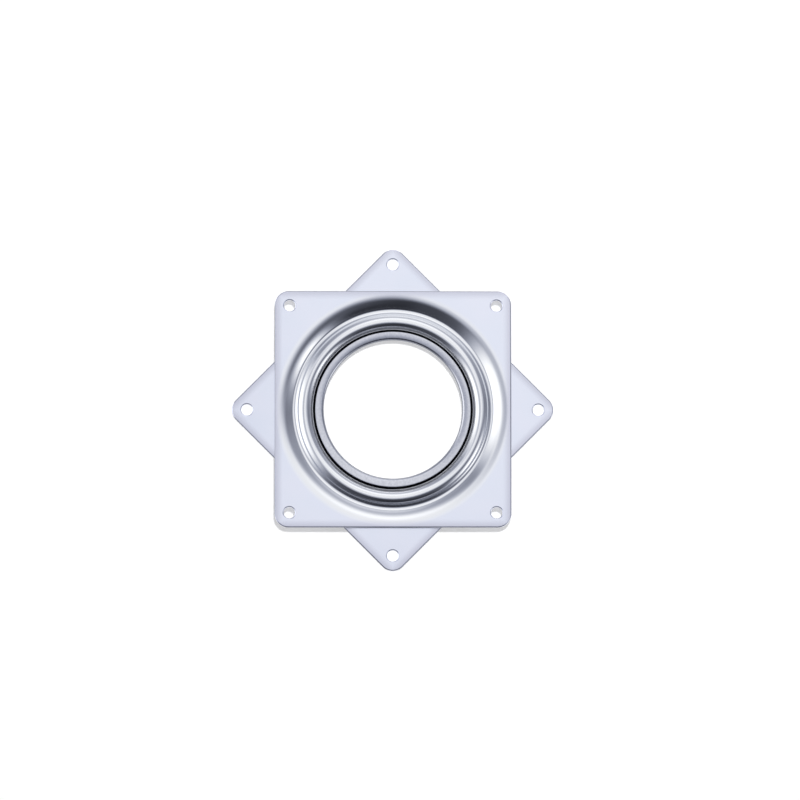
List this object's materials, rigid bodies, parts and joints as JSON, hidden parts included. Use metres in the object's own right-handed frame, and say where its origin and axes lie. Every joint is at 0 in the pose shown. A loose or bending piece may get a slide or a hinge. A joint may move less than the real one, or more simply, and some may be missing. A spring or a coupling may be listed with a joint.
{
  "type": "lazy susan bearing",
  "caption": "Thin turntable bearing: square pressed steel plates with corner screw holes turn on a ring of loose steel balls around an open centre.",
  "frame": {"origin": "on the turning axis, in the plane that the lower plate stands on", "axes": "+Z along the turning axis towards the upper plate; X and Y along the upper plate's edges; the lower plate is turned by 45 degrees"},
  "size_m": [0.1386, 0.1386, 0.0079],
  "materials": {
    "zinc_plated_steel": "bright zinc plating on pressed sheet steel",
    "polished_steel": "polished carbon steel balls"
  },
  "bodies": {
    "lower_plate": {"lower_plate": "zinc_plated_steel"},
    "upper_plate": {"upper_plate": "zinc_plated_steel"},
    "ball_set": {"ball_01": "polished_steel", "ball_02": "polished_steel", "ball_03": "polished_steel", "ball_04": "polished_steel", "ball_05": "polished_steel", "ball_06": "polished_steel", "ball_07": "polished_steel", "ball_08": "polished_steel", "ball_09": "polished_steel", "ball_10": "polished_steel", "ball_11": "polished_steel", "ball_12": "polished_steel", "ball_13": "polished_steel", "ball_14": "polished_steel", "ball_15": "polished_steel", "ball_16": "polished_steel", "ball_17": "polished_steel", "ball_18": "polished_steel", "ball_19": "polished_steel", "ball_20": "polished_steel", "ball_21": "polished_steel", "ball_22": "polished_steel", "ball_23": "polished_steel", "ball_24": "polished_steel", "ball_25": "polished_steel", "ball_26": "polished_steel", "ball_27": "polished_steel", "ball_28": "polished_steel", "ball_29": "polished_steel", "ball_30": "polished_steel", "ball_31": "polished_steel", "ball_32": "polished_steel", "ball_33": "polished_steel", "ball_34": "polished_steel", "ball_35": "polished_steel", "ball_36": "polished_steel", "ball_37": "polished_steel", "ball_38": "polished_steel", "ball_39": "polished_steel", "ball_40": "polished_steel", "ball_41": "polished_steel", "ball_42": "polished_steel", "ball_43": "polished_steel", "ball_44": "polished_steel", "ball_45": "polished_steel", "ball_46": "polished_steel", "ball_47": "polished_steel", "ball_48": "polished_steel"}
  },
  "joints": [
    {"name": "turntable_spin", "type": "hinge", "parent": "lower_plate", "child": "upper_plate", "pos_m": [0, 0, 0.00397], "axis": [0, 0, 1], "continuous": true},
    {"name": "ball_orbit", "type": "hinge", "parent": "lower_plate", "child": "ball_set", "pos_m": [0, 0, 0.00397], "axis": [0, 0, 1], "continuous": true}
  ],
  "couplings": [
    {"joint": "ball_orbit", "follows": "turntable_spin", "ratio": 0.5}
  ]
}
